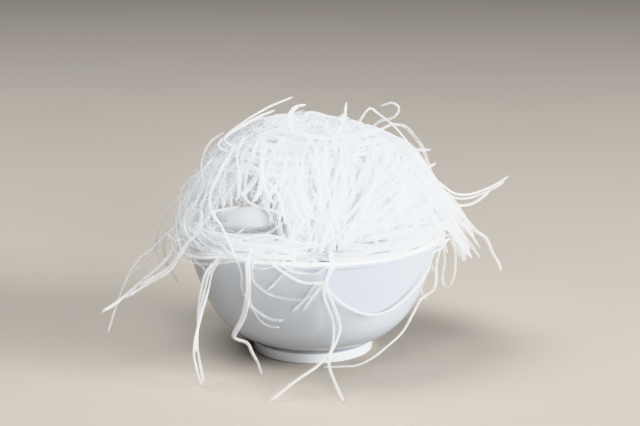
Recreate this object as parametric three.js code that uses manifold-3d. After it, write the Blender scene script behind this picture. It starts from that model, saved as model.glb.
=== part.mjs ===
// Dried rice vermicelli heaped in a small porcelain rice bowl.
// Millimetres, +Z up. The origin is on the bowl's axis, on the surface it stands on; -Y is the front.
// Two solids: the bowl, and the vermicelli, a packed nest with the strands that show fused on.
import * as THREE from "three";
import Module from "manifold-3d";
import { mergeVertices } from "three/addons/utils/BufferGeometryUtils.js";

// ---- driving dimensions ----------------------------------------------------------------------

const BOWL = {
  rimRadius: 60.4, // outside of the lip, 121 mm across
  height: 56.5,
  wall: 3,
  lip: 1.9, // radius of the rounded lip
  footRadius: 28,
  footHeight: 6,
  footWidth: 3.6, // of the flat ring it stands on
  footRecess: 3.2, // depth of the hollow under the foot
  floor: 8.5, // inside height of the bottom
  sides: 52,
};

const NEST = {
  top: 110, // height of the packed core, under the strands that lie on it
  shoulder: 61, // height at which the core is widest
  radius: 62.5, // there, over most of the rim
  wider: 4, // at the right
  rightSlope: 4.5, // how much flatter the right side falls away above that
  bareRim: 9, // how far it stays back at the front right, where the rim shows
  taper: 1.4, // 1 narrows like a cone, more like a dome
  flatness: 3.2, // more is flatter on top
  gap: 0.5, // to the inside of the bowl
  overRim: 1.6, // height above the rim at which the core leans out over it
  dent: 1, // depth of its lumps
  columns: 32,
  rows: 8, // above the rim
};

// The loose left side is hollow: an opening at the front runs down to the back wall of the bowl.
// Each ring is the x, y and z of its middle, half its width and half its height.
const HOLLOW = {
  sides: 10,
  rings: [
    [-27, -74, 81, 14, 7],
    [-28, -50, 75, 14, 7],
    [-29, -20, 67, 16, 9],
    [-31, 15, 58, 16, 10],
    [-33, 44, 50, 14, 8],
    [-33, 62, 46, 14, 8],
  ],
};

const STRAND = {
  diameter: 1.6,
  pair: 1.5, // how much wider two strands are that dried stuck together
  sides: 4,
  step: 6.2, // length of one straight piece of a strand that hangs free
  nestStep: 8, // and of one that lies on the nest
  clearance: 0.5, // to the bowl
  overLip: 2, // to the lip, where a strand bends over it
};

const CROWN_STRANDS = 9; // lie round the top of the nest
const FALLING_STRANDS = 17; // run from the top down to the rim, or over it
const SEED = 11;

// ---- helpers ---------------------------------------------------------------------------------

function seededRandom(seed) {
  let state = seed;
  return () => {
    state = (state + 0x6d2b79f5) | 0;
    let t = Math.imul(state ^ (state >>> 15), 1 | state);
    t = (t + Math.imul(t ^ (t >>> 7), 61 | t)) ^ t;
    return ((t ^ (t >>> 14)) >>> 0) / 4294967296;
  };
}

const random = seededRandom(SEED);
const between = (low, high) => low + (high - low) * random();
const degrees = Math.PI / 180;

// A point at an angle round the axis, in degrees: 0 is the right, -90 the front, 90 the back.
function around(angle, radius, height) {
  return new THREE.Vector3(
    radius * Math.cos(angle * degrees),
    radius * Math.sin(angle * degrees),
    height,
  );
}

const wasm = await Module();
wasm.setup();

function toSolid(geometry) {
  const plain = geometry.clone();
  plain.deleteAttribute("normal");
  plain.deleteAttribute("uv");
  const merged = mergeVertices(plain, 1e-4);
  return new wasm.Manifold(
    new wasm.Mesh({
      numProp: 3,
      vertProperties: new Float32Array(merged.attributes.position.array),
      triVerts: new Uint32Array(merged.index.array),
    }),
  );
}

function toGeometry(solid) {
  const mesh = solid.getMesh();
  const geometry = new THREE.BufferGeometry();
  geometry.setAttribute("position", new THREE.BufferAttribute(mesh.vertProperties, 3));
  geometry.setIndex(new THREE.BufferAttribute(mesh.triVerts, 1));
  const faceted = geometry.toNonIndexed();
  faceted.computeVertexNormals();
  return faceted;
}

// ---- bowl ------------------------------------------------------------------------------------

// Outside of the wall from the foot to the lip: full low down, almost straight above.
const outsideCurve = new THREE.SplineCurve(
  [
    [0.437, 0.11],
    [0.61, 0.185],
    [0.735, 0.31],
    [0.829, 0.478],
    [0.894, 0.655],
    [0.95, 0.83],
    [0.985, 0.955],
  ].map(([r, z]) => new THREE.Vector2(r * BOWL.rimRadius, z * BOWL.height)),
);

function bowlProfile() {
  const { height, lip, wall, footRadius, footHeight, footWidth, footRecess, floor } = BOWL;
  const outside = outsideCurve.getSpacedPoints(7);
  const inside = outside
    .map((p, i) => {
      const before = outside[Math.max(i - 1, 0)];
      const after = outside[Math.min(i + 1, outside.length - 1)];
      const along = after.clone().sub(before).normalize();
      return new THREE.Vector2(p.x - along.y * wall, p.y + along.x * wall);
    })
    .filter((p) => p.y > floor + 1)
    .reverse();
  const lipCentre = new THREE.Vector2(BOWL.rimRadius - lip, height - lip);
  const lipArc = [20, 65, 110, 155].map((a) =>
    new THREE.Vector2(lip * Math.cos(a * degrees), lip * Math.sin(a * degrees)).add(lipCentre),
  );
  const innerFoot = footRadius - footWidth - 1;
  return [
    new THREE.Vector2(0, footRecess),
    new THREE.Vector2(innerFoot - 1.2, footRecess),
    new THREE.Vector2(innerFoot, 0),
    new THREE.Vector2(innerFoot + footWidth, 0),
    new THREE.Vector2(footRadius, 1.3),
    new THREE.Vector2(footRadius - 0.5, footHeight - 1),
    ...outside,
    ...lipArc,
    ...inside,
    new THREE.Vector2(inside.at(-1).x * 0.55, floor),
    new THREE.Vector2(0, floor),
  ];
}

const profile = bowlProfile();

// The same outline as a closed ring in the (radius, height) plane, for keeping strands clear of it.
const ring = profile.map((p, i) => [p, profile[(i + 1) % profile.length]]);

function nearestOnBowl(point) {
  let best = { distance: Infinity };
  for (const [a, b] of ring.slice(0, -1)) {
    const edge = b.clone().sub(a);
    const t = THREE.MathUtils.clamp(point.clone().sub(a).dot(edge) / edge.lengthSq(), 0, 1);
    const on = a.clone().addScaledVector(edge, t);
    const distance = on.distanceTo(point);
    if (distance < best.distance) {
      const outward = new THREE.Vector2(edge.y, -edge.x).normalize();
      best = { distance, on, outward, inside: point.clone().sub(on).dot(outward) < 0 };
    }
  }
  return best;
}

// Moves a point of a strand's centre line away from the bowl, if it is too close.
function clearOfBowl(point, width) {
  const flat = new THREE.Vector2(Math.hypot(point.x, point.y), point.z);
  const atLip = Math.abs(flat.y - BOWL.height) < STRAND.step;
  const need = width / 2 + (atLip ? STRAND.overLip : STRAND.clearance);
  const near = nearestOnBowl(flat);
  if (!near.inside && near.distance >= need) return point;
  const moved = near.on.clone().addScaledVector(near.outward, need);
  const scale = moved.x / flat.x;
  return new THREE.Vector3(point.x * scale, point.y * scale, Math.max(moved.y, need));
}

// ---- nest ------------------------------------------------------------------------------------

// How wide the core is at its shoulder: it leans out over the rim, except at the front right.
function shoulderRadius(angle) {
  const fromBare = THREE.MathUtils.euclideanModulo(angle + 50 + 180, 360) - 180;
  const bare = Math.max(0, Math.cos(THREE.MathUtils.clamp(1.6 * fromBare, -90, 90) * degrees));
  const right = Math.max(0, Math.cos(angle * degrees)) ** 2;
  return NEST.radius + NEST.wider * right - NEST.bareRim * bare;
}

const lumpPhases = Array.from({ length: 4 }, () => between(0, 360));

function lump(angle, height) {
  const [a, b, c, d] = lumpPhases;
  return (
    NEST.dent *
    (Math.sin((5 * angle + 4 * height + a) * degrees) +
      0.8 * Math.sin((8 * angle - 7 * height + b) * degrees) +
      0.6 * Math.sin((3 * angle + 11 * height + c) * degrees) +
      0.5 * Math.sin((13 * angle + 5 * height + d) * degrees))
  );
}

// Radius of the core above the rim.
function nestRadius(angle, height) {
  const up = Math.max(0, (height - NEST.shoulder) / (NEST.top - NEST.shoulder));
  const dome = Math.max(0, 1 - up ** NEST.taper) ** (1 / NEST.flatness);
  const right = Math.max(0, Math.cos(angle * degrees));
  const slope = NEST.rightSlope * right * Math.sin(Math.min(up, 1) * 180 * degrees);
  return dome * (shoulderRadius(angle) + lump(angle, height) - slope);
}

function nestGeometry() {
  const { columns, rows, gap, overRim, shoulder, top } = NEST;
  const insideWall = profile
    .slice(profile.findIndex((p) => p.y > BOWL.height - 0.5) + 1, -2)
    .filter((p) => p.x < BOWL.rimRadius - 2 * BOWL.lip)
    .reverse();
  const below = [
    { r: insideWall[0].x * 0.5, z: BOWL.floor + gap },
    ...insideWall.map((p) => ({ r: p.x - gap * 1.4, z: p.y + gap * 0.8 })),
  ];
  const neck = { r: BOWL.rimRadius - 2 * BOWL.lip - 0.8, z: BOWL.height };
  const lean = BOWL.height + overRim;
  const stations = [
    ...below.map(({ r, z }) => () => [r, z]),
    () => [neck.r, neck.z],
    (angle) => [Math.min(neck.r, shoulderRadius(angle) - 3), lean],
    (angle) => [shoulderRadius(angle) - 2.2, lean + 0.2],
    ...Array.from({ length: rows }, (_, i) => (angle) => {
      const share = Math.sin((i / rows) * 90 * degrees);
      const z = shoulder + (top - shoulder) * share;
      return [nestRadius(angle, z), z];
    }),
  ];
  const positions = [];
  for (const station of stations) {
    for (let column = 0; column < columns; column++) {
      const angle = (360 * column) / columns;
      const [r, z] = station(angle);
      positions.push(...around(angle, r, z).toArray());
    }
  }
  const bottom = positions.length / 3;
  positions.push(0, 0, BOWL.floor + gap);
  positions.push(0, 0, top);
  const index = [];
  const last = (stations.length - 1) * columns;
  for (let column = 0; column < columns; column++) {
    const next = (column + 1) % columns;
    index.push(bottom, next, column);
    index.push(bottom + 1, last + column, last + next);
    for (let row = 0; row < stations.length - 1; row++) {
      const low = row * columns;
      const high = low + columns;
      index.push(low + column, low + next, high + next);
      index.push(low + column, high + next, high + column);
    }
  }
  const geometry = new THREE.BufferGeometry();
  geometry.setAttribute("position", new THREE.Float32BufferAttribute(positions, 3));
  geometry.setIndex(index);
  return geometry;
}

function hollowGeometry() {
  const { rings, sides } = HOLLOW;
  const positions = [];
  for (const [x, y, z, halfWidth, halfHeight] of rings) {
    for (let side = 0; side < sides; side++) {
      const a = (2 * Math.PI * side) / sides;
      positions.push(x + halfWidth * Math.cos(a), y, z + halfHeight * Math.sin(a));
    }
  }
  const front = positions.length / 3;
  positions.push(...rings[0].slice(0, 3), ...rings.at(-1).slice(0, 3));
  const index = [];
  const last = (rings.length - 1) * sides;
  for (let side = 0; side < sides; side++) {
    const next = (side + 1) % sides;
    index.push(front, side, next);
    index.push(front + 1, last + next, last + side);
    for (let near = 0; near < last; near += sides) {
      const far = near + sides;
      index.push(near + side, far + side, far + next);
      index.push(near + side, far + next, near + next);
    }
  }
  const geometry = new THREE.BufferGeometry();
  geometry.setAttribute("position", new THREE.Float32BufferAttribute(positions, 3));
  geometry.setIndex(index);
  return geometry;
}

// Whether a point lies in the hollow, or just in front of its opening. A reach over 1 takes in more.
function inHollow({ x, y, z }, reach = 1) {
  const far = HOLLOW.rings.findIndex((ring) => ring[1] > y);
  if (far < 1) return false;
  const near = HOLLOW.rings[far - 1];
  const t = (y - near[1]) / (HOLLOW.rings[far][1] - near[1]);
  const here = near.map((value, i) => THREE.MathUtils.lerp(value, HOLLOW.rings[far][i], t));
  return Math.hypot((x - here[0]) / here[3], (z - here[2]) / here[4]) < reach;
}

// ---- strands ---------------------------------------------------------------------------------

function section(width) {
  return new THREE.Shape(
    Array.from({ length: STRAND.sides }, (_, i) => {
      const a = (2 * Math.PI * i) / STRAND.sides;
      return new THREE.Vector2(Math.cos(a), Math.sin(a)).multiplyScalar(width / 2);
    }),
  );
}

// One strand: a tube along a smooth curve through its points, kept clear of the bowl.
function strand({ points, width = STRAND.diameter, step = STRAND.step }) {
  const smooth = new THREE.CatmullRomCurve3(points, false, "centripetal");
  const steps = Math.max(3, Math.round(smooth.getLength() / step));
  const clear = smooth.getSpacedPoints(steps).map((point) => clearOfBowl(point, width));
  const path = new THREE.CatmullRomCurve3(clear);
  return toSolid(
    new THREE.ExtrudeGeometry(section(width), { steps, bevelEnabled: false, extrudePath: path }),
  );
}

// A strand that leaves the nest starts well inside the core, and passes over the lip if it has to.
function rooted(points) {
  const first = points[0];
  if (first.z > BOWL.height + 3) {
    return [first.clone().lerp(new THREE.Vector3(0, 0, 72), 0.3), ...points];
  }
  const angle = Math.atan2(first.y, first.x) / degrees;
  const lead = [
    around(angle, 45, BOWL.height + 8),
    around(angle, 56, BOWL.height + 4.5),
    around(angle, 61, BOWL.height + 3),
  ];
  return [...lead.filter((point) => !inHollow(point, 1.4)), ...points];
}

// Loose strands that show from the front: the places each one passes through, in order.
const LOOSE = {
  leftLong: [
    [-54, -31, 60], [-60, -34, 52], [-64, -36, 47], [-73, -38, 42], [-83, -41, 36],
  ],
  leftFlatTip: [
    [-57, -12, 60], [-66, -20, 48], [-78, -30, 39], [-88, -38, 32], [-94, -42, 29],
  ],
  leftDownTip: [
    [-60, 5, 60], [-74, 0, 48], [-81, -6, 43], [-86, -12, 35], [-90, -20, 25], [-93, -27, 15],
  ],
  leftBack: [[-60, 16, 62], [-72, 14, 48], [-79, 12, 38], [-86, 10, 32], [-90, 8, 27]],
  leftSkirt: [[-54, 5, 74], [-65, 10, 67], [-71, 12, 57], [-74, 12, 46], [-72, 10, 37]],
  leftShort: [[-62, 12, 60], [-70, 10, 48], [-69, 11, 38], [-67, 12, 33], [-64, 14, 27]],
  leftCurl: [[-52, -18, 60], [-59, -20, 57], [-62, -22, 57], [-66, -24, 61]],
  leftArc: [
    [-36, -20, 108], [-46, -15, 102], [-49, -12, 95], [-53, -10, 87], [-59, -8, 81], [-64, -8, 74],
    [-66, -10, 64], [-62, -14, 58],
  ],
  frontLeft: [
    [-41, -48, 55], [-45, -50, 50], [-47, -51, 43], [-49, -53, 34], [-50, -55, 27], [-51, -57, 21],
    [-51, -58, 15], [-50, -60, 10], [-49, -60, 5], [-48, -58, 1],
  ],
  hookOuter: [
    [-36, -53, 60], [-32, -54, 52], [-31, -50, 40], [-27, -48, 32], [-22, -48, 26], [-15, -50, 26],
  ],
  hookInner: [[-28, -57, 60], [-28, -53, 45], [-27, -48, 34], [-21, -49, 29], [-14, -52, 29]],
  kinked: [
    [-28, -57, 57], [-28, -55, 45], [-29, -51, 36], [-31, -49, 28], [-35, -46, 19], [-33, -44, 17],
    [-29, -43, 15], [-27, -44, 11], [-25, -44, 7], [-23, -44, 1],
  ],
  swagLow: [
    [-26, -57, 55], [-26, -53, 47], [-20, -53, 41], [-13, -54, 39], [-5, -56, 39], [1, -57, 42],
    [6, -60, 50],
  ],
  swagHigh: [[-18, -60, 57], [-10, -61, 51], [-4, -61, 48], [4, -61, 48]],
  spikeLong: [[8, -62, 57], [4, -60, 48], [-2, -57, 40], [-8, -54, 33]],
  spikeShort: [[6, -61, 55], [3, -58, 44], [-1, -57, 38], [-5, -55, 34]],
  frontLong: [
    [9, -62, 59], [7, -61, 49], [6, -58, 41], [9, -56, 33], [10, -56, 25], [8, -60, 19],
    [7, -66, 13], [9, -72, 8], [13, -80, 1],
  ],
  frontCross: [
    [5, -63, 56], [6, -61, 47], [9, -59, 37], [11, -57, 26], [8, -61, 17], [2, -66, 12],
    [-6, -71, 8], [-13, -76, 4], [-18, -79, 1],
  ],
  rightSwag: [
    [5, -62, 54], [11, -56, 39], [18, -52, 33], [27, -46, 29], [35, -41, 30], [42, -36, 34],
    [48, -31, 39], [53, -27, 46],
  ],
  rightUnder: [
    [60, -13, 57], [57, -12, 44], [56, -12, 31], [50, -14, 27], [47, -16, 22], [41, -21, 13],
    [34, -26, 8], [27, -31, 4], [19, -33, 1], [5, -35, 1],
  ],
  rightLong: [
    [42, -10, 101], [50, -6, 88], [55, -2, 82], [61, 4, 76], [67, 10, 71], [73, 13, 70],
    [80, 17, 71], [88, 20, 74], [93, 22, 77],
  ],
  rightLow: [[61, 5, 68], [69, 7, 62], [76, 9, 54], [82, 11, 49], [85, 12, 42], [88, 13, 37]],
  rightTip: [[59, -4, 61], [67, -6, 55], [71, -8, 49], [73, -9, 45]],
  rightStub: [[58, -8, 64], [64, -9, 58], [67, -11, 53], [70, -12, 50]],
  rightLoop: [[60, 4, 58], [62, 4, 40], [61, 4, 31], [63, 4, 27], [66, 4, 31], [67, 4, 40], [65, 4, 57]],
  topRightLoop: [[30, -10, 109], [37, -13, 112], [39, -13, 116], [36, -12, 118], [31, -8, 116]],
  topLeftLong: [[-39, -25, 104], [-30, -24, 112], [-24, -20, 115], [-19, -15, 117], [-9, -8, 120]],
  topLeftHook: [[-10, -20, 109], [-10, -17, 113], [-8, -14, 116], [-3, -12, 117]],
  topSpike: [[9, -36, 105], [12, -33, 110], [14, -27, 114], [15, -22, 120]],
};

const PAIRS = ["frontLeft", "frontCross", "kinked", "leftLong", "rightTip", "rightStub"];

// Strands that hang down at the back and the far sides: [angle, reach, lowest height, sway].
const HANGING = [
  [28, 74, 24, 8],
  [52, 79, 6, -9],
  [75, 72, 30, 10],
  [97, 80, 1, -7],
  [118, 71, 18, 8],
  [140, 80, 10, -10],
  [160, 74, 34, 6],
];

function hanging([angle, reach, low, sway]) {
  const rim = BOWL.rimRadius + 2;
  const middle = (BOWL.height + low) / 2;
  return [
    around(angle + sway * 0.2, rim + 1, BOWL.height - 2),
    around(angle + sway * 0.5, (rim + reach) / 2 - 2, middle + 6),
    around(angle + sway * 0.8, (rim + reach) / 2 + 1, (middle + low) / 2),
    around(angle + sway, reach, low),
  ];
}

// Strands on the nest lie just proud of it, and start and end below its surface.
const PROUD = 1.3;
const SUNK = -2;

function onNest(angle, height, rise) {
  return around(angle, nestRadius(angle, height) + rise, height);
}

// Most falling strands bend over the rim and hang a little way outside it.
function falling(number) {
  const start = (number * 360) / FALLING_STRANDS + between(-6, 6);
  const turn = between(16, 40) * (number % 2 ? 1 : -1);
  const along = (t, rise) =>
    onNest(start + turn * t, THREE.MathUtils.lerp(NEST.top - 3, NEST.shoulder + 3, t), rise);
  const end = start + turn;
  const staysIn = shoulderRadius(end) < BOWL.rimRadius + 1;
  const wave = between(-1, 1);
  return [
    along(0, SUNK),
    along(0.12, PROUD),
    along(0.35, PROUD + wave),
    along(0.6, PROUD),
    along(0.85, PROUD - wave * 0.3),
    ...(staysIn
      ? [along(1, SUNK)]
      : [
          around(end + turn * 0.1, shoulderRadius(end) + 4, BOWL.height),
          around(end + turn * 0.15, BOWL.rimRadius + between(5, 9), BOWL.height - between(6, 14)),
        ]),
  ];
}

function crown(number) {
  const start = number * 137.5;
  const height = NEST.top - 2 - 2.4 * number;
  const tilt = between(-5, 5);
  return [0, 12, 32, 54, 76, 88].map((turn, i, all) => {
    const end = i === 0 || i === all.length - 1;
    return onNest(start + turn, height + tilt * Math.sin(2 * turn * degrees), end ? SUNK : PROUD);
  });
}

function acrossHollow(points) {
  return new THREE.CatmullRomCurve3(points, false, "centripetal").getPoints(30).some((p) => inHollow(p));
}

const toVectors = (points) => points.map(([x, y, z]) => new THREE.Vector3(x, y, z));

const strands = [
  ...Object.entries(LOOSE).map(([name, points]) => ({
    points: rooted(toVectors(points)),
    width: STRAND.diameter * (PAIRS.includes(name) ? STRAND.pair : 1),
  })),
  ...HANGING.map((row) => ({ points: rooted(hanging(row)) })),
  ...Array.from({ length: FALLING_STRANDS }, (_, i) => falling(i))
    .filter((points) => !acrossHollow(points))
    .map((points) => ({ points, step: STRAND.nestStep })),
  ...Array.from({ length: CROWN_STRANDS }, (_, i) => ({ points: crown(i), step: STRAND.nestStep })),
];

// Joins the strands to the core and keeps the one body that results, without sealed pockets.
function vermicelliSolid() {
  const core = toSolid(nestGeometry()).subtract(toSolid(hollowGeometry()));
  const joined = strands.reduce((solid, one) => solid.add(strand(one)), core);
  return joined.decompose().reduce((a, b) => (b.volume() > a.volume() ? b : a));
}

// ---- the part --------------------------------------------------------------------------------

const glaze = new THREE.MeshStandardMaterial({ color: 0xeef0f2, roughness: 0.12, metalness: 0 });
const driedRice = new THREE.MeshStandardMaterial({ color: 0xf1f3f4, roughness: 0.38, metalness: 0 });

const bowl = new THREE.Mesh(new THREE.LatheGeometry(profile, BOWL.sides), glaze);
bowl.name = "bowl";
bowl.rotation.x = Math.PI / 2;

const vermicelli = new THREE.Mesh(toGeometry(vermicelliSolid()), driedRice);
vermicelli.name = "vermicelli";

const part = new THREE.Group();
part.name = "bowl of dried rice vermicelli";
part.add(bowl, vermicelli);

export default part;
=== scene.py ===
"""Dresses a bowl of dried rice vermicelli: a glazed porcelain rice bowl, and a loose nest of separate
strands over a packed core. Run as a script. Metres, +Z up, -Y the front, +X the right."""

import math
from functools import partial

import bpy
import numpy as np
from bpy.props import FloatProperty, FloatVectorProperty, IntProperty, PointerProperty
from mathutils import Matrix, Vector


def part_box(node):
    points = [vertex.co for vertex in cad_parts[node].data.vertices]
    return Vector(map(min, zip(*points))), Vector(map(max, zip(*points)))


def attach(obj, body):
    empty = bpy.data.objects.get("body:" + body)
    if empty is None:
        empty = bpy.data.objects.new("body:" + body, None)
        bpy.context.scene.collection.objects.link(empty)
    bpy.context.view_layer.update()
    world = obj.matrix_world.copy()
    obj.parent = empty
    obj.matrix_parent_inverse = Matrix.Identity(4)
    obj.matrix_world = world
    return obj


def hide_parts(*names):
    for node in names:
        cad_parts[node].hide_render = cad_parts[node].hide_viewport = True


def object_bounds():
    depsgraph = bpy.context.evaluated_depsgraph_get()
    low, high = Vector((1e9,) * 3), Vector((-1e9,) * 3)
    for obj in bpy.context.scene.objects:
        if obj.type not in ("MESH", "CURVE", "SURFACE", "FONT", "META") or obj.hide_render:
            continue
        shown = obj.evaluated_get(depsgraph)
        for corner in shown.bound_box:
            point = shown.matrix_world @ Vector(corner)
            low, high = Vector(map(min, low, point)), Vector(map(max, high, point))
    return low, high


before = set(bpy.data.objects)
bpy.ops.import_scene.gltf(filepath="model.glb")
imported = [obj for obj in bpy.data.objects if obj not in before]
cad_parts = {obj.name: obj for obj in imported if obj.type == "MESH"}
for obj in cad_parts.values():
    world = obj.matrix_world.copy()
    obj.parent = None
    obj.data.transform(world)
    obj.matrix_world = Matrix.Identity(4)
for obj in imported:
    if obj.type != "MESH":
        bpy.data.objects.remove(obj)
CAD_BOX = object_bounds()
BOWL_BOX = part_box("bowl")

bl_info = {
    "name": "Bowl of dried rice vermicelli",
    "version": (1, 0, 0),
    "blender": (4, 5, 0),
    "location": "3D View > Sidebar > Vermicelli",
    "description": "Builds a porcelain rice bowl heaped with loose dried rice vermicelli",
    "category": "Add Mesh",
}

MM = 0.001
FULL_TURN = 2 * math.pi

# ---- sizes that the frame gives ----

RIM_RADIUS = BOWL_BOX[1][0]
BOWL_HEIGHT = BOWL_BOX[1][2]
ROOM = np.array(CAD_BOX)  # nothing leaves this box

# ---- the bowl's outline ----

WALL = 3.0 * MM
LIP = 1.9 * MM  # radius of the bead round the rim
FOOT_RADIUS = 28.0 * MM
FOOT_HEIGHT = 5.0 * MM
FOOT_WIDTH = 3.6 * MM
FOOT_RECESS = 3.2 * MM
FLOOR = 8.5 * MM  # inside height of the bottom
# From the foot's ledge to the lip, in shares of the rim's radius and of the height.
OUTSIDE = np.array([
    (0.427, 0.100), (0.510, 0.130), (0.610, 0.185), (0.735, 0.310),
    (0.829, 0.478), (0.894, 0.655), (0.948, 0.830), (0.977, 0.940),
]) * (RIM_RADIUS, BOWL_HEIGHT)

# ---- the nest ----

NEST_TOP = 110.0 * MM
NEST_SHOULDER = 61.0 * MM  # height at which the nest is widest
NEST_RADIUS = 62.5 * MM  # there
NEST_WIDER = 4.0 * MM  # more of it at the right
BARE_RIM = 7.0 * MM  # how far it stays back at the front right, where the rim shows
BARE_ANGLE = -50.0
FRONT_ANGLE = -90.0
LOOSE_ANGLE = 200.0
NEST_TAPER = 1.4
NEST_FLATNESS = 3.2
FRINGE_SPREAD = 45.0 * MM  # how fast what hangs below the shoulder spreads out
FRINGE_DROP = 90.0 * MM
TUCK = 80.0 * MM  # how fast what stays inside the rim turns in below it
HUMP_HEIGHT = 0.9 * MM
RIGHT_SLOPE = 4.5 * MM  # how much flatter its right side falls away

# ---- curves ----

SPAN_POINTS = 12  # on a smooth curve, between two of its places


def distances(points):
    """How far along a path each of its points lies."""
    return np.concatenate([[0], np.cumsum(np.linalg.norm(np.diff(points, axis=0), axis=1))])


def unit(vectors):
    """The same directions, each with length 1."""
    return vectors / np.maximum(np.linalg.norm(vectors, axis=1), 1e-9)[:, None]


def between(t, start, end, first, second):
    """Goes evenly from first, where t is start, to second, where it is end."""
    return (end - t) / (end - start) * first + (t - start) / (end - start) * second


def smooth(points):
    """A smooth curve through the points: a centripetal Catmull-Rom spline."""
    points = np.asarray(points, float)
    padded = np.vstack([2 * points[0] - points[1], points, 2 * points[-1] - points[-2]])
    gaps = np.sqrt(np.linalg.norm(np.diff(padded, axis=0), axis=1)) + 1e-9
    knots = np.concatenate([[0], np.cumsum(gaps)])
    curve = []
    for i in range(1, len(padded) - 2):
        k0, k1, k2, k3 = knots[i - 1 : i + 3]
        p0, p1, p2, p3 = padded[i - 1 : i + 3]
        t = np.linspace(k1, k2, SPAN_POINTS, endpoint=False)[:, None]
        middle = between(t, k1, k2, p1, p2)
        before = between(t, k0, k2, between(t, k0, k1, p0, p1), middle)
        after = between(t, k1, k3, middle, between(t, k2, k3, p2, p3))
        curve.append(between(t, k1, k2, before, after))
    return np.vstack([*curve, points[-1:]])


def sampled(points, step):
    """Points about a step apart on the smooth curve, both its ends included."""
    curve = smooth(points)
    along = distances(curve)
    count = max(3, int(round(along[-1] / step)))
    wanted = np.linspace(0, along[-1], count + 1)
    return np.column_stack([np.interp(wanted, along, places) for places in curve.T])


def arc(centre, radius, start, end, count):
    """Points on an arc in the (radius, height) plane; angles in degrees."""
    angles = np.radians(np.linspace(start, end, count))
    return np.column_stack([centre[0] + radius * np.cos(angles), centre[1] + radius * np.sin(angles)])


def bowl_outline():
    """The wall's section in the (radius, height) plane, from the hollow under the foot round to the
    middle of the inside."""
    outside = sampled(OUTSIDE, 1.6 * MM)
    along = unit(np.gradient(outside, axis=0))
    inside = outside + np.column_stack([-along[:, 1], along[:, 0]]) * WALL
    inside = inside[inside[:, 1] > FLOOR + 1.5 * MM][::-1]
    edge, recess_edge = 0.9 * MM, 1.5 * MM  # radii of the foot's edges
    inner_foot = FOOT_RADIUS - FOOT_WIDTH
    bottom = inside[-1][0]
    return np.vstack([
        [(0, FOOT_RECESS), (inner_foot * 0.6, FOOT_RECESS)],
        arc((inner_foot - 2 * MM, FOOT_RECESS - recess_edge), recess_edge, 90, 20, 5),
        arc((inner_foot + edge, edge), edge, 200, 270, 4),
        arc((FOOT_RADIUS - edge, edge), edge, 270, 360, 5),
        arc((FOOT_RADIUS - edge, FOOT_HEIGHT - edge), edge, 0, 75, 5),
        outside,
        arc((RIM_RADIUS - LIP, BOWL_HEIGHT - LIP), LIP, -35, 190, 15),
        inside[2:],
        [(bottom * 0.75, FLOOR + 0.4 * MM), (bottom * 0.4, FLOOR), (0, FLOOR)],
    ])


OUTLINE = bowl_outline()
INNER_WALL = OUTLINE[OUTLINE[:, 1] > FLOOR]
INNER_WALL = INNER_WALL[INNER_WALL[:, 0].argmax() :][::-1]  # from the bottom up to the rim


def clear_of_bowl(points, need):
    """Moves the points of a strand's centre line that are nearer the bowl's wall than need."""
    radius = np.hypot(points[:, 0], points[:, 1])
    flat = np.column_stack([radius, points[:, 2]])
    start, edge = OUTLINE[:-1], np.diff(OUTLINE, axis=0)
    share = ((flat[:, None, :] - start) * edge).sum(2) / (edge**2).sum(1)
    nearest = start + edge * np.clip(share, 0, 1)[..., None]
    gap = np.linalg.norm(nearest - flat[:, None, :], axis=2)
    best = gap.argmin(1)
    rows = np.arange(len(flat))
    on = nearest[rows, best]
    away = flat - on
    outward = unit(np.column_stack([edge[best, 1], -edge[best, 0]]))
    inside_wall = (away * outward).sum(1) < 0
    direction = np.where(inside_wall[:, None], outward, unit(away))
    close = inside_wall | (gap[rows, best] < need)
    moved = np.where(close[:, None], on + direction * need, flat)
    scale = moved[:, 0] / np.maximum(radius, 1e-9)
    return np.column_stack([points[:, :2] * scale[:, None], np.maximum(moved[:, 1], need)])


# ---- the surface of the nest ----


def around(angle, radius, height):
    """A point at an angle in degrees round the axis."""
    turn = math.radians(angle)
    return (radius * math.cos(turn), radius * math.sin(turn), height)


def angle_of(point):
    """The angle in degrees at which a point lies round the axis."""
    return math.degrees(math.atan2(point[1], point[0]))


def shoulder_radius(angle):
    """Radius of the nest at its shoulder, by the angle in degrees: 0 is the right, -90 the front."""
    from_bare = (np.asarray(angle) - BARE_ANGLE + 180) % 360 - 180
    bare = np.cos(np.radians(np.clip(2 * from_bare, -90, 90)))
    right = np.maximum(0, np.cos(np.radians(angle))) ** 2
    return NEST_RADIUS + NEST_WIDER * right - BARE_RIM * bare


def dome(height):
    """Share of the shoulder's radius that the nest has at a height."""
    up = np.clip((height - NEST_SHOULDER) / (NEST_TOP - NEST_SHOULDER), 0, 1)
    return (1 - up**NEST_TAPER) ** (1 / NEST_FLATNESS)


def travel_table():
    """Heights against the share of the way from the crown down to the shoulder."""
    up = 1 - (1 - np.linspace(0, 1, 400)) ** 3
    heights = NEST_SHOULDER + (NEST_TOP - NEST_SHOULDER) * up[::-1]
    radii = dome(heights) * NEST_RADIUS
    along = np.concatenate([[0], np.cumsum(np.hypot(np.diff(radii), np.diff(heights)))])
    return along / along[-1], heights, along[-1]


TRAVEL, TRAVEL_HEIGHT, TRAVEL_LENGTH = travel_table()


def hump(travel, angle):
    """Unevenness of the nest's surface: broad humps, and hollows between them."""
    turn = math.radians(angle)
    broad = math.sin(2 * turn + 0.7 + 2 * travel) + 0.7 * math.sin(3 * turn - 1.9 - 5 * travel)
    fine = 0.5 * math.sin(7 * turn + 11 * travel)
    slimmer = max(0.0, math.cos(turn)) * math.sin(math.pi * min(travel, 1))
    return HUMP_HEIGHT * (broad + fine - 1) - RIGHT_SLOPE * slimmer


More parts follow.
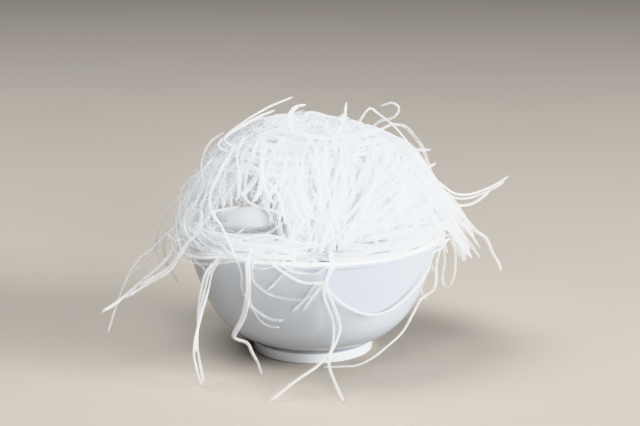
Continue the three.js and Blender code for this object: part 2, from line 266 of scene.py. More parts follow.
def on_nest(travel, angle, rise=0.0):
    """A point on the nest: travel goes from 0 at the crown to 1 at the shoulder and past it to what
    hangs outside, angle is in degrees, and rise stands off the surface."""
    height = np.interp(travel, TRAVEL, TRAVEL_HEIGHT)
    radius = dome(height) * shoulder_radius(angle)
    below = max(0.0, travel - 1)
    lean = math.radians(90 * min(travel, 1))
    rise = rise + hump(travel, angle) * max(0.0, 1 - below * 6)
    outside = np.clip((shoulder_radius(angle) - RIM_RADIUS) / MM, 0, 1)
    radius += (FRINGE_SPREAD * outside - TUCK * (1 - outside)) * below + rise * math.sin(lean)
    return around(angle, radius, height + (rise * math.cos(lean) - FRINGE_DROP * below))


# ---- strands as arrays ----

STRAND_SIDES = 6
STRAND_STEP = 2.4 * MM
STRAND_GAP = 0.25 * MM  # between a strand and the bowl
STUCK_SHARE = 0.22  # of the strands dried stuck to another
THICKNESS = (0.85, 1.15)  # thinnest and thickest, as shares of the usual
FLATNESS = (0.78, 1.0)  # of the section, its height as a share of its width
UNEVENNESS = 0.07
END_TAPER = 0.5
TIP = 0.15  # how far an end stands out, in radii
WAVES = ((0.060, 1.0), (0.032, 0.45), (0.017, 0.16))  # lengths of the waves and their shares
CALM_START = 0.02  # length over which the waves grow
MIDDLE = (0, 0, 40 * MM)  # what the nest's surface faces away from


def sideways(path, first, last):
    """Across a strand and level with the nest's surface, turned by degrees that change evenly."""
    along = np.gradient(path, axis=0)
    across = unit(np.cross(along, path - MIDDLE))
    up = unit(np.cross(across, along))
    turn = np.radians(np.linspace(first, last, len(path)))
    return across * np.cos(turn)[:, None] + up * np.sin(turn)[:, None]


class StrandBatch:
    """Gathers many strands and makes one piece of them."""

    def __init__(self, seed, diameter):
        self.random = np.random.default_rng(seed)
        self.radius = diameter / 2
        self.vertices, self.quads, self.triangles = [], [], []
        self.layers = {"tone": [], "across": [], "along": []}
        self.count = 0

    def add(
        self, points, waves=0.0, stuck=1, apart=1.6, turns=None, sides=STRAND_SIDES, step=STRAND_STEP
    ):
        """One strand through the points, or a few side by side that part a little in the middle.
        waves is how far it wanders off its smooth route, apart is in radii, and turns is how the
        ribbon of a few strands lies at its start and end, in degrees."""
        path = sampled(points, step)
        if waves:
            path = path + self.wander(path, waves)
        tone = self.random.uniform(0, 1)
        radius = self.radius * self.random.uniform(*THICKNESS)
        if turns is None:
            first = self.random.uniform(-30, 30)
            turns = (first, first + self.random.uniform(-70, 70))
        parting = 0.4 + 0.6 * np.sin(np.linspace(0, math.pi, len(path)))
        beside = sideways(path, *turns) * parting[:, None] * radius * apart
        for place in range(stuck):
            strand = path + beside * (place - (stuck - 1) / 2)
            if place:
                first, last = self.random.integers(0, 1 + len(path) // 5, 2)
                strand = strand[first : len(path) - last]
            strand = clear_of_bowl(strand, radius + STRAND_GAP)
            strand = np.clip(strand, ROOM[0] + radius * 1.1, ROOM[1] - radius * 1.1)
            self.tube(strand, radius, sides, tone)

    def wander(self, path, size):
        """Smooth sideways waves of a few lengths, dying out at the strand's start."""
        along = distances(path)
        offset = np.zeros_like(path)
        for wavelength, share in WAVES:
            for axis in range(3):
                phase = self.random.uniform(0, FULL_TURN)
                offset[:, axis] += share * np.sin(along / wavelength * FULL_TURN + phase)
        return offset * size * np.clip(along / CALM_START, 0, 1)[:, None]

    def tube(self, path, radius, sides, tone):
        """Sweeps a slightly flattened round section along the path and closes both ends."""
        tangent = unit(np.gradient(path, axis=0))
        normals = np.empty_like(path)
        normal = np.cross(tangent[0], self.random.normal(size=3))
        for i, direction in enumerate(tangent):
            normal = normal - direction * (normal @ direction)
            normal /= np.linalg.norm(normal)
            normals[i] = normal
        binormals = np.cross(tangent, normals)
        angles = np.arange(sides) / sides * FULL_TURN
        swell = np.sin(np.linspace(0, 9, len(path)) + self.random.uniform(0, 6))
        wide = radius * (1 + UNEVENNESS * swell)
        wide[[0, -1]] *= END_TAPER
        flat = self.random.uniform(*FLATNESS)
        across = (wide[:, None] * np.cos(angles))[..., None] * normals[:, None, :]
        upward = (wide[:, None] * flat * np.sin(angles))[..., None] * binormals[:, None, :]
        ring = path[:, None, :] + across + upward
        tips = [path[0] - tangent[0] * radius * TIP, path[-1] + tangent[-1] * radius * TIP]
        self.vertices.append(np.vstack([ring.reshape(-1, 3), tips]))
        base, rings = self.count, len(path)
        here = base + np.arange((rings - 1) * sides)
        beside = here + np.where((here - base) % sides == sides - 1, 1 - sides, 1)
        self.quads.append(np.column_stack([here, beside, beside + sides, here + sides]))
        first = base + np.arange(sides)
        last = first + (rings - 1) * sides
        tip = np.full(sides, base + rings * sides)
        self.triangles.append(np.column_stack([np.roll(first, -1), first, tip]))
        self.triangles.append(np.column_stack([last, np.roll(last, -1), tip + 1]))
        length = distances(path)
        self.layers["along"].append(np.concatenate([np.repeat(length, sides), length[[0, -1]]]))
        self.layers["across"].append(np.concatenate([np.tile(angles / FULL_TURN, rings), [0, 0]]))
        self.layers["tone"].append(np.full(rings * sides + 2, tone))
        self.count += rings * sides + 2

    def build(self, name, material):
        """Makes the mesh, with the attributes that its material reads, and dresses it."""
        vertices, quads, triangles = map(np.vstack, (self.vertices, self.quads, self.triangles))
        mesh = bpy.data.meshes.new(name)
        mesh.vertices.add(len(vertices))
        mesh.vertices.foreach_set("co", vertices.ravel())
        corners = np.concatenate([quads.ravel(), triangles.ravel()])
        mesh.loops.add(len(corners))
        mesh.loops.foreach_set("vertex_index", corners)
        starts = np.concatenate([np.arange(len(quads)) * 4, quads.size + np.arange(len(triangles)) * 3])
        mesh.polygons.add(len(starts))
        mesh.polygons.foreach_set("loop_start", starts)
        mesh.polygons.foreach_set("use_smooth", np.arange(len(starts)) < len(quads))
        for label, rows in self.layers.items():
            layer = mesh.attributes.new(label, "FLOAT", "POINT")
            layer.data.foreach_set("value", np.concatenate(rows))
        mesh.update(calc_edges=True)
        mesh.validate()
        piece = bpy.data.objects.new(name, mesh)
        bpy.context.collection.objects.link(piece)
        dress(piece, material, "dried_rice", "vermicelli")


# ---- where the strands go ----

# Loose strands that show from the front: the places each one passes through, in millimetres.
LOOSE = {
    "left_long": [(-54, -31, 60), (-60, -34, 52), (-64, -36, 47), (-73, -38, 42), (-83, -41, 36)],
    "left_flat_tip": [(-57, -12, 60), (-66, -20, 48), (-78, -30, 39), (-88, -38, 32), (-94, -42, 29)],
    "left_down_tip": [
        (-60, 5, 60), (-74, 0, 48), (-81, -6, 43), (-86, -12, 35), (-90, -20, 25), (-93, -27, 15),
    ],
    "left_back": [(-60, 16, 62), (-72, 14, 48), (-79, 12, 38), (-86, 10, 32), (-90, 8, 27)],
    "left_skirt": [(-54, 5, 74), (-65, 10, 67), (-71, 12, 57), (-74, 12, 46), (-72, 10, 37)],
    "left_short": [(-62, 12, 60), (-70, 10, 48), (-69, 11, 38), (-67, 12, 33), (-64, 14, 27)],
    "left_curl": [(-52, -18, 60), (-59, -20, 57), (-62, -22, 57), (-66, -24, 61)],
    "front_left": [
        (-41, -48, 55), (-45, -50, 50), (-47, -51, 43), (-49, -53, 34), (-50, -55, 27), (-51, -57, 21),
        (-51, -58, 15), (-50, -60, 10), (-49, -60, 5), (-48, -58, 1),
    ],
    "left_under": [
        (-55, -26, 60), (-56, -28, 55), (-53, -31, 51), (-51, -33, 49), (-48, -35, 47), (-49, -33, 45),
    ],
    "hook_outer": [
        (-43, -45, 75), (-40, -49, 71), (-36, -54, 64), (-33, -55, 57), (-31, -54, 50), (-31, -50, 42),
        (-29, -49, 37), (-26, -47, 31), (-22, -47, 25.5), (-18, -48, 24), (-15, -50, 24.5),
    ],
    "hook_inner": [
        (-27, -57, 60), (-28, -54, 47), (-28, -50, 40), (-27, -49, 34), (-24, -48, 31),
        (-20, -49, 28.5), (-16, -51, 28), (-13, -52, 28.5),
    ],
    "kinked": [
        (-28, -57, 57), (-28, -55, 45), (-29, -51, 36), (-31, -49, 28), (-35, -46, 19), (-33, -44, 17),
        (-29, -43, 15), (-27, -44, 11), (-25, -44, 7), (-23, -44, 1),
    ],
    "swag_low": [
        (-26, -57, 55), (-26, -53, 47), (-20, -53, 41), (-13, -54, 39), (-5, -56, 39), (1, -57, 42),
        (6, -61, 50),
    ],
    "swag_high": [(-18, -60, 57), (-10, -61, 51), (-4, -61, 48), (4, -61, 48)],
    "swag_top": [(-16, -60, 58), (-9, -60, 53), (-4, -60, 52), (1, -61, 52), (7, -62, 56)],
    "spike_long": [(7, -61, 51), (5, -60, 49), (1, -59, 46), (-3, -57, 40), (-9, -54, 33)],
    "spike_short": [(6, -61, 50), (4, -60, 47), (0, -58, 41), (-4, -55, 34)],
    "slant_high": [(-8, -61, 56), (-11, -60, 53), (-14, -59, 50), (-17, -57, 46), (-20, -56, 43)],
    "front_long": [
        (9, -63, 59), (9, -62, 55), (6, -61, 50), (5, -60, 46), (5, -58, 41), (7, -57, 35), (9, -56, 28),
        (9, -58, 21), (7, -66, 13), (9, -72, 8), (13, -80, 1),
    ],
    "front_cross": [
        (8, -63, 58), (7, -62, 53), (5, -60, 47), (7, -58, 42), (10, -57, 34), (12, -56, 26), (8, -61, 17),
        (2, -66, 12), (-6, -71, 8), (-13, -76, 4), (-18, -79, 1),
    ],
    "right_swag": [
        (8, -62, 56), (6, -60, 47), (9, -57, 41), (18, -52, 33), (27, -46, 29), (35, -41, 30),
        (42, -36, 34), (48, -31, 39), (53, -27, 46),
    ],
    "right_under": [
        (60, -13, 57), (57, -12, 44), (56, -12, 31), (50, -14, 27), (47, -16, 22), (41, -21, 13),
        (34, -26, 8), (27, -31, 4), (19, -33, 1), (5, -35, 1),
    ],
    "right_long": [
        (26, -3, 114), (30, 0, 111), (36, -4, 107), (42, -10, 101), (50, -6, 88), (55, -2, 82),
        (61, 4, 76), (67, 10, 71), (73, 13, 70), (80, 17, 71), (88, 20, 74), (93, 22, 77),
    ],
    "right_beside": [
        (61, 6, 73), (67, 11, 68.8), (73, 14, 68), (80, 18, 69.2), (87, 21, 71.8), (91, 23, 73.8),
    ],
    "right_fork": [(60, 9, 72), (63, 10, 69), (67, 11, 65.5), (73, 13, 65), (79, 16, 67), (84, 18, 71)],
    "right_low": [
        (61, 5, 68), (69, 7, 62), (76, 9, 54), (82, 11, 49), (85, 12, 42), (88, 13, 37), (89.5, 13, 33),
    ],
    "right_tip": [(59, -4, 61), (67, -6, 55), (71, -8, 49), (73, -9, 45)],
    "right_stub": [(58, -8, 64), (64, -9, 58), (67, -11, 53), (70, -12, 50)],
    "right_loop": [
        (60, 4, 58), (62, 4, 40), (61, 4, 31), (63, 4, 27), (66, 4, 31), (67, 4, 40), (65, 4, 57),
    ],
    "top_right_loop": [(30, -10, 109), (37, -13, 112), (39, -13, 116), (36, -12, 118), (31, -8, 116)],
    "top_left_long": [(-39, -25, 104), (-30, -24, 112), (-24, -20, 115), (-19, -15, 117), (-9, -8, 120)],
    "top_left_beside": [
        (-42, -24, 101), (-37, -24, 106), (-30, -22, 110), (-24, -19, 113), (-17, -14, 115),
    ],
    "top_left_hook": [(-10, -20, 109), (-10, -17, 113), (-8, -14, 116), (-3, -12, 117)],
    "top_spike": [(9, -36, 105), (12, -33, 110), (14, -27, 114), (15, -22, 120)],
}
# Those that are a few strands side by side: how many, how far apart in radii, and how the ribbon
# that they make is turned at its start and at its end, in degrees.
BUNDLED = {
    "front_left": (3, 2.3, 200, -160),
    "kinked": (2, 2.1, 50, -20),
    "left_long": (2, 2.3, -50, 60),
    "left_flat_tip": (2, 1.9, 70, -30),
    "right_low": (2, 1.9, 80, 10),
    "right_tip": (2, 2.0, -30, 40),
    "right_stub": (2, 2.0, 0, 60),
    "top_left_hook": (2, 2.2, 20, -40),
}
# Those that branch off another instead of starting in the nest.
BRANCHES = ("spike_long", "spike_short")

# Strands that lie on the nest and stand out from the front.
LAID = {
    "upright_left": [(-30, -26, 106), (-33, -36, 99), (-32, -43, 93), (-32, -48, 86)],
    "upright_middle": [(-20, -36, 105), (-22, -46, 96), (-21, -52, 89), (-17, -56, 82)],
    "upright_right": [(-11, -44, 100), (-13, -53, 90), (-15, -57, 83)],
    "left_band": [
        (-34, -26, 101), (-40, -35, 93), (-43, -39, 87), (-45, -42, 81), (-44, -46, 76), (-40, -49, 71),
    ],
    "left_outer": [(-40, -8, 104), (-46, -11, 100), (-49, -16, 95), (-50, -22, 90), (-48, -30, 84)],
    "left_hoop": [
        (-44, -24, 96), (-50, -27, 89), (-55, -22, 85), (-59, -18, 79), (-60, -20, 72), (-60, -24, 67),
        (-57, -32, 62), (-54, -36, 61),
    ],
    "left_ring": [
        (-51, -33, 78), (-56, -30, 72), (-57, -32, 66), (-54, -38, 62), (-51, -42, 65), (-48, -44, 70),
        (-43, -46, 77),
    ],
    "left_ring_small": [(-53, -35, 72), (-50, -38, 75), (-48, -41, 73), (-50, -42, 69), (-53, -40, 65)],
    "right_arc": [
        (35, -20, 110), (43, -8, 106), (47, -6, 101), (50, -11, 97), (52, -14, 91), (54, -14, 85),
    ],
    "right_peg_high": [(40, -20, 98), (47, -14, 97), (54, -4, 95)],
    "right_peg_low": [(44, -24, 90), (50, -18, 89), (56, -10, 90)],
    "crown_bend": [(14, -18, 112), (20, -24, 111), (24, -30, 107), (22, -37, 102), (15, -42, 98)],
    "crown_bend_right": [(24, -28, 107), (30, -24, 108), (36, -14, 109)],
    "right_fall": [(41, -26, 96), (41, -32, 89), (40, -37, 83), (36, -43, 76)],
    "middle_fall": [(27, -30, 104), (28, -38, 96), (25, -48, 83), (21, -53, 73)],
}

# Strands that hang down at the back and the far sides: angle, reach, lowest height and sway.
HANGING = [
    (28, 74, 24, 8), (52, 79, 6, -9), (75, 72, 30, 10), (97, 80, 1, -7),
    (118, 71, 18, 8), (140, 80, 10, -10), (160, 74, 34, 6),
]
ROOT = (0, 0, 76)  # where strands start that come out above the rim, in millimetres
OVER_LIP = ((45, 9), (55, 6), (61, 2.5))  # radius, and height above the rim, where others pass it


def hanging(angle, reach, low, sway):
    """The places a strand passes through that hangs over the rim, in millimetres."""
    rim = RIM_RADIUS / MM + 2
    top = BOWL_HEIGHT / MM
    middle = (top + low) / 2
    return [
        around(angle + sway * 0.2, rim + 1, top - 2),
        around(angle + sway * 0.5, (rim + reach) / 2 - 2, middle + 6),
        around(angle + sway * 0.8, (rim + reach) / 2 + 1, (middle + low) / 2),
        around(angle + sway, reach, low),
    ]


def rooted(points):
    """Starts a strand inside the nest, and leads it over the lip if it has to pass it."""
    first = points[0]
    top = BOWL_HEIGHT / MM
    if first[2] > top + 3:
        return [tuple(0.75 * a + 0.25 * b for a, b in zip(first, ROOT)), *points]
    return [*(around(angle_of(first), radius, top + above) for radius, above in OVER_LIP), *points]


# A hollow runs through the loose left side of the nest, from the front to the back of the bowl.
HOLLOW_FRONT = np.array([-30.0, -66.0, 77.0]) * MM
HOLLOW_BACK = np.array([-34.5, 52.0, 50.0]) * MM
HOLLOW_HALF_WIDTH = 12.0 * MM
HOLLOW_HALF_HEIGHT = 6.5 * MM


def in_hollow(points):
    """Which points lie in the hollow."""
    share = (points[:, 1] - HOLLOW_FRONT[1]) / (HOLLOW_BACK[1] - HOLLOW_FRONT[1])
    centre = HOLLOW_FRONT + (HOLLOW_BACK - HOLLOW_FRONT) * share[:, None]
    across = (points[:, 0] - centre[:, 0]) / HOLLOW_HALF_WIDTH
    upward = (points[:, 2] - centre[:, 2]) / HOLLOW_HALF_HEIGHT
    return (np.hypot(across, upward) < 1) & (share > -0.1) & (share < 1)


def short_of_hollow(points):
    """The route, or the part of it before the hollow, or nothing where that is short."""
    path = sampled(points, 4 * MM)
    inside = in_hollow(path)
    if not inside.any():
        return points
    before = path[: inside.argmax()]
    return before if len(before) > 5 else None


def looseness(angle):
    """0 where the nest is packed, 1 at its loose left side."""
    return float(np.clip((math.cos(math.radians(angle - LOOSE_ANGLE)) - 0.25) / 0.5, 0, 1))


# ---- kinds of route ----

STEPS = np.linspace(0, 1, 6)


def crown_route(random, depth=0.0):
    """Round the top of the nest."""
    start = random.uniform(0, 360)
    span = random.uniform(70, 190) * random.choice([-1, 1])
    travel = random.uniform(0.1, 0.6)
    tilt = random.uniform(-0.1, 0.1)
    rise = random.uniform(-7, -0.5) * MM - depth
    lift = random.uniform(0, 1.5) * MM
    return [
        on_nest(travel + tilt * math.sin(3 * t), start + span * t, rise + lift * math.sin(5 * t))
        for t in STEPS
    ]


def bowed_fall(top, low, start, drift, bow, rise):
    """From one height on the nest down to another, turning by drift and bowed to one side."""
    return [
        on_nest(top + (low - top) * t, start + drift * t + bow * math.sin(math.pi * t), rise)
        for t in STEPS
    ]


def falling_route(random, depth=0.0):
    """From the crown down the side of the nest, over the rim where it isn't bare."""
    start = random.uniform(0, 360)
    drift = random.normal(0, 22)
    top, low = random.uniform(0.1, 0.55), random.uniform(0.75, 1.04)
    end = start + drift
    if shoulder_radius(end) < RIM_RADIUS:
        low += 0.08
    rise = random.uniform(-7, 0) * MM - depth
    points = bowed_fall(top, low, start, drift, random.uniform(-10, 10), rise)
    from_front = math.cos(math.radians(end - FRONT_ANGLE))
    if low > 0.9 and from_front < 0.5 and shoulder_radius(end) > RIM_RADIUS + 1.5 * MM:
        points.append(on_nest(low + random.uniform(0.06, 0.16), end + random.uniform(-6, 6), rise))
    return points


def veil_route(random, depth=0.0):
    """From the crown down to the hollow at the front left."""
    start = random.uniform(-165, -92)
    drift = random.normal(0, 22)
    bow = random.uniform(-14, 14)
    top = random.uniform(0.2, 0.5)
    return bowed_fall(top, 0.85, start, drift, bow, random.uniform(-10, 0) * MM - depth)


def fan_route(random, depth=0.0):
    """Up and to the right from the place at the front where many strands meet."""
    start = -82 + random.normal(0, 5)
    end = random.uniform(-100, 12)
    high = random.uniform(0.2, 0.75)
    rise = random.uniform(-6, -0.5) * MM - depth
    return [
        on_nest(
            1.0 + (high - 1.0) * t,
            start + (end - start) * t**1.5,
            rise + 2 * MM * math.sin(math.pi * t),
        )
        for t in STEPS
    ]


def curl_route(random):
    """A hook or an open ring lying on the nest."""
    travel, angle = random.uniform(0.15, 0.95), random.uniform(0, 360)
    size = random.uniform(5, 13) * MM
    rise = random.uniform(-3, 0.5) * MM
    start = random.uniform(0, 360)
    turn = random.uniform(120, 320) * random.choice([-1, 1])
    across = max(18 * MM, dome(np.interp(travel, TRAVEL, TRAVEL_HEIGHT)) * NEST_RADIUS)
    points = []
    for t in np.linspace(0, 1, 9):
        bearing = math.radians(start + turn * t)
        reach = size * (1 + 0.5 * abs(2 * t - 1) ** 3)
        sideward = math.degrees(reach * math.sin(bearing) / across)
        down = reach * math.cos(bearing) / TRAVEL_LENGTH
        points.append(on_nest(min(1.1, max(0.02, travel + down)), angle + sideward, rise + 2 * MM * t * t))
    return points


def spray_route(random):
    """Short strands that fan out sideways over the right of the rim."""
    angle = random.normal(2, 14)
    rise = random.uniform(-2, 7) * MM
    start = random.uniform(0.78, 0.95)
    return [
        on_nest(start, angle + random.uniform(-10, 10), -3 * MM),
        on_nest(start + 0.1, angle, rise * 0.5),
        on_nest(start + 0.22, angle + random.uniform(-4, 4), rise),
    ]


def rim_route(random):
    """Nearly level, along the rim, sagging a little over it."""
    span = random.uniform(22, 60)
    start = random.uniform(-178, -86 - span) if random.uniform() < 0.6 else random.uniform(0, 182 - span)
    travel = random.uniform(0.93, 1.05)
    sag = random.uniform(-0.02, 0.07)
    rise = random.uniform(-3, 2.0) * MM
    return [on_nest(travel + sag * math.sin(math.pi * t), start + span * t, rise) for t in STEPS]


def level_route(random, *ranges):
    """Nearly level. The ranges are those of its start, span, travel and tilt, and of its rise in
    millimetres."""
    start, span, travel, tilt, rise = (random.uniform(low, high) for low, high in ranges)
    return [on_nest(travel + tilt * t, start + span * t, rise * MM) for t in STEPS]


def back_rim_route(random):
    """Behind the hollow, where the nest lies on the rim at the back."""
    return level_route(random, (80, 150), (25, 55), (0.78, 1.0), (-0.08, 0.08), (-9, 0))


def inside_rim_route(random):
    """Just inside the part of the rim that shows."""
    return level_route(random, (-100, -35), (22, 55), (0.86, 1.08), (-0.06, 0.06), (-6, 0))


def lip_route(random):
    """Nearly level, resting on the lip at the front and the right."""
    start = random.uniform(-135, -15)
    span = random.uniform(15, 45)
    radius = RIM_RADIUS - random.uniform(2, 9) * MM
    height = BOWL_HEIGHT + random.uniform(-1.0, 5.0) * MM
    lean = random.uniform(-3, 3) * MM
    return [
        around(start + span * t, radius + lean * t, height + 1.5 * MM * math.sin(math.pi * t) * (0.5 - t))
        for t in STEPS
    ]


def hoop_route(random):
    """A hanging loop at the loose left side: down from the top, round, and back into the bowl."""
    angle = random.uniform(140, 235)
    turn = random.uniform(14, 40) * random.choice([-1, 1])
    low = random.uniform(0.98, 1.12)
    rise = random.uniform(-7, -1) * MM
    return [
        on_nest(random.uniform(0.2, 0.5), angle - turn * 0.3, rise),
        on_nest(0.65, angle - turn * 0.1, rise),
        on_nest(0.88, angle, rise + 2 * MM),
        on_nest(low, angle + turn * 0.3, rise),
        on_nest(low - 0.05, angle + turn * 0.7, rise - 2 * MM),
        on_nest(0.85, angle + turn, rise - 7 * MM),
    ]


def lay_strands(batch, route_of, count, waves, sparse=0.0):
    """Adds strands on random routes, fewer at the loose side, and none across the hollow. waves is
    in millimetres."""
    made = 0
    while made < count:
        route = route_of(batch.random)
        skipped = batch.random.uniform() < sparse * looseness(angle_of(route[len(route) // 2]))
        route = short_of_hollow(route)
        if not skipped and route is not None:
            batch.add(route, waves * MM, stuck=1 + int(batch.random.uniform() < STUCK_SHARE))
            made += 1


def inner_limit(point):
    """How far out a strand of the tangle may be at this height."""
    if point[2] <= BOWL_HEIGHT:
        return float(np.interp(point[2], INNER_WALL[:, 1], INNER_WALL[:, 0])) - 2 * MM
    angle = angle_of(point)
    slope = RIGHT_SLOPE * max(0.0, math.cos(math.radians(angle)))
    return max(0.0, float(dome(point[2]) * (shoulder_radius(angle) - slope)) - 5 * MM)


TANGLE_STEP = 9 * MM


def tangle_route(random, middle, spread, lowest):
    """A wandering route inside the nest, turned back wherever it would leave it."""
    direction = random.normal(size=3) * (1, 1, 0.7)
    direction /= np.linalg.norm(direction)
    points = [kept_inside(middle + random.uniform(-1, 1, 3) * spread, lowest)]
    for _ in range(int(random.integers(8, 15))):
        turned = direction + random.normal(size=3) * 0.33
        ahead = points[-1] + turned / np.linalg.norm(turned) * TANGLE_STEP
        if np.any(kept_inside(ahead, lowest) != ahead):
            back = middle - points[-1]
            turned = turned + back / np.linalg.norm(back) * 1.4
        direction = turned / np.linalg.norm(turned)
        points.append(kept_inside(points[-1] + direction * TANGLE_STEP, lowest))
    return points


def kept_inside(point, lowest):
    """The point, or the nearest place to it inside the nest."""
    point = np.array(point)
    point[2] = np.clip(point[2], lowest, NEST_TOP - 4 * MM)
    reach = math.hypot(point[0], point[1])
    limit = inner_limit(point)
    if reach > limit:
        point[:2] *= limit / reach
    return point


# ---- shaders ----


class Signal:
    """A shader socket that takes part in Python sums."""

    def __init__(self, recipe, socket):
        self.recipe = recipe
        self.socket = socket

    def sum_with(self, other, operation, swapped=False):
        """Adds a Math node of the two values, or of them the other way round."""
        pair = {0: other, 1: self} if swapped else {0: self, 1: other}
        return self.recipe.node("ShaderNodeMath", {"operation": operation}, pair)

    def __add__(self, other):
        return self.sum_with(other, "ADD")

    def __sub__(self, other):
        return self.sum_with(other, "SUBTRACT")

    def __rsub__(self, other):
        return self.sum_with(other, "SUBTRACT", swapped=True)

    def __mul__(self, other):
        return self.sum_with(other, "MULTIPLY")

    __radd__ = __add__
    __rmul__ = __mul__


class Finish:
    """Builds one material, node by node."""

    def __init__(self, name):
        self.material = bpy.data.materials.new(name)
        self.material.use_nodes = True
        self.tree = self.material.node_tree
        self.tree.nodes.clear()

    def node(self, kind, settings=None, inputs=None, output=0):
        """Adds a node, with its settings first and then its sockets, and returns one output."""
        made = self.tree.nodes.new(kind)
        for key, value in (settings or {}).items():
            setattr(made, key, value)
        for key, value in (inputs or {}).items():
            socket = made.inputs[key]
            if isinstance(value, Signal):
                self.tree.links.new(value.socket, socket)
            else:
                socket.default_value = (*value, 1.0) if socket.type == "RGBA" else value
        return Signal(self, made.outputs[output])

    def blend(self, share, first, second):
        """Mixes two colours."""
        settings = {"data_type": "RGBA"}
        return self.node("ShaderNodeMix", settings, {0: share, 6: first, 7: second}, output=2)

    def noise(self, vector, scale, detail=2.0):
        """Soft noise from 0 to 1."""
        inputs = {"Vector": vector, "Scale": scale, "Detail": detail, "Roughness": 0.5}
        return self.node("ShaderNodeTexNoise", inputs=inputs)

    def attribute(self, name):
        """A number that the mesh carries at its points."""
        return self.node("ShaderNodeAttribute", {"attribute_name": name}, output=2)

    def place(self):
        """Where a point lies in the object's own coordinates."""
        return self.node("ShaderNodeTexCoord", output=3)

    def bump(self, height, strength, distance):
        """Fine relief."""
        inputs = {"Strength": strength, "Distance": distance, "Height": height}
        return self.node("ShaderNodeBump", inputs=inputs)

    def principled(self, inputs):
        """The shader that every finish starts from."""
        return self.node("ShaderNodeBsdfPrincipled", inputs=inputs)

    def surface(self, shader):
        """Ends the material with its surface."""
        end = self.tree.nodes.new("ShaderNodeOutputMaterial")
        self.tree.links.new(shader.socket, end.inputs["Surface"])
        return self.material


def porcelain(settings):
    """White glaze: faintly uneven. Its outside has a greyer colour as painted shade, darkest low down
    towards the foot; the inside and the lip stay white, the lip as a painted highlight, and the foot is
    lighter as painted light.
    """
    finish = Finish("white_porcelain_glaze")
    place = finish.place()
    height = finish.node("ShaderNodeSeparateXYZ", inputs={0: place}, output=2)
    mottle = finish.noise(place, 55.0, 3.0)
    # Painted shade: 1 just above the foot, fading out by 16 mm up.
    low = finish.node(
        "ShaderNodeMapRange",
        inputs={"Value": height, "From Min": 4 * MM, "From Max": 16 * MM, "To Min": 1.0, "To Max": 0.0},
    )
    # Painted light and shade: white glaze inside and on the lip, a greyer colour outside as painted shade.
    inner = finish.attribute("inner")
    wall = finish.blend(inner, settings.glaze, settings.glaze_inside)
    # Painted shade low down outside, together with faint random mottle.
    mottle_and_painted_shade = finish.blend((1 - inner) * (low * 0.5 + mottle * 0.18), wall, settings.glaze_mottle_and_painted_shade)
    return finish.surface(finish.principled({
        "Base Color": mottle_and_painted_shade,
        "Roughness": mottle * 0.1 + 0.14,
        "IOR": 1.5,
        "Normal": finish.bump(finish.noise(place, 150.0), 0.06, 0.0006),
    }))


def dried_rice(name, settings, thickness=1.0):
    """Dried rice starch: milky at its edges and in patches, glassier along its middle."""
    finish = Finish(name)
    tone, across, along = (finish.attribute(label) for label in ("tone", "across", "along"))
    streak_place = finish.node(
        "ShaderNodeCombineXYZ", inputs={0: across * 5.0, 1: along * 60.0, 2: tone * 40.0}
    )
    streak = finish.noise(streak_place, 1.0)
    cloud_place = finish.node("ShaderNodeCombineXYZ", inputs={0: along * 90.0, 1: tone * 57.0})
    cloud = finish.noise(cloud_place, 1.0)
    shade = finish.blend(tone * 0.6 + cloud * 0.4, settings.strand, settings.strand_cool)
    facing = finish.node("ShaderNodeLayerWeight", inputs={"Blend": 0.35}, output=1)
    body = facing * (settings.edge_body - settings.body) * thickness + settings.body * thickness
    body = body + (cloud - 0.5) * 0.3 + (tone - 0.5) * 0.2
    alpha = finish.node("ShaderNodeClamp", inputs={"Value": body, "Min": 0.12, "Max": 1.0})
    skin = finish.principled({
        "Base Color": shade,
        "Roughness": streak * 0.18 + 0.22,
        "IOR": 1.5,
        "Alpha": alpha,
        "Normal": finish.bump(streak, 0.25, 0.0002),
    })
    glow = finish.node("ShaderNodeBsdfTranslucent", inputs={"Color": settings.strand})
    clear = finish.node("ShaderNodeBsdfTransparent")
    lit = finish.node("ShaderNodeMixShader", inputs={0: alpha, 1: clear, 2: glow})
    both = finish.node("ShaderNodeMixShader", inputs={0: settings.glow, 1: skin, 2: lit})
    return finish.surface(both)


def packed_rice(settings):
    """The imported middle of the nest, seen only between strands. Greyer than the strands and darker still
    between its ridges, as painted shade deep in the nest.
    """
    finish = Finish("packed_dried_rice")
    place = finish.place()
    lines = finish.node("ShaderNodeMapping", inputs={"Vector": place, "Scale": (90.0, 90.0, 420.0)})
    ridges = finish.noise(lines, 1.0, 3.0)
    patches = finish.noise(place, 60.0)
    # Painted shade: darker in the lines between the ridges.
    return finish.surface(finish.principled({
        "Base Color": finish.blend(ridges * 0.6 + patches * 0.4, settings.packed_painted_shade, settings.packed),
        "Roughness": ridges * 0.2 + 0.4,
        "Normal": finish.bump(ridges, 0.6, 0.001),
    }))


def matt_paper(settings):
    """The stage's floor: pale paper with a hardly visible grain."""
    finish = Finish("pale_backdrop_paper")
    grain = finish.noise(finish.place(), 9.0, 4.0)
    colour = Vector(settings.floor_colour)
    shade = finish.blend(grain, colour * 0.985, colour * 1.015)
    return finish.surface(finish.principled({"Base Color": shade, "Roughness": grain * 0.1 + 0.8}))


# ---- helpers for the operators ----


def start_fresh():
    """Leaves edit mode and deselects everything."""
    if bpy.context.object and bpy.context.object.mode != "OBJECT":
        bpy.ops.object.mode_set(mode="OBJECT")
    bpy.ops.object.select_all(action="DESELECT")


def shape_by(piece, kind, **settings):
    """Adds a modifier with its settings to the active piece and applies it."""
    modifier = piece.modifiers.new(kind.lower(), kind)
    for key, value in settings.items():
        setattr(modifier, key, value)
    bpy.ops.object.modifier_apply(modifier=modifier.name)


def dress(piece, material, slot, *nodes):
    """Gives a finished piece its material and its body. slot is not used."""
    piece.data.materials.clear()
    piece.data.materials.append(material)
    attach(piece, "root")
    for node in nodes:
        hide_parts(node)


# ---- settings ----


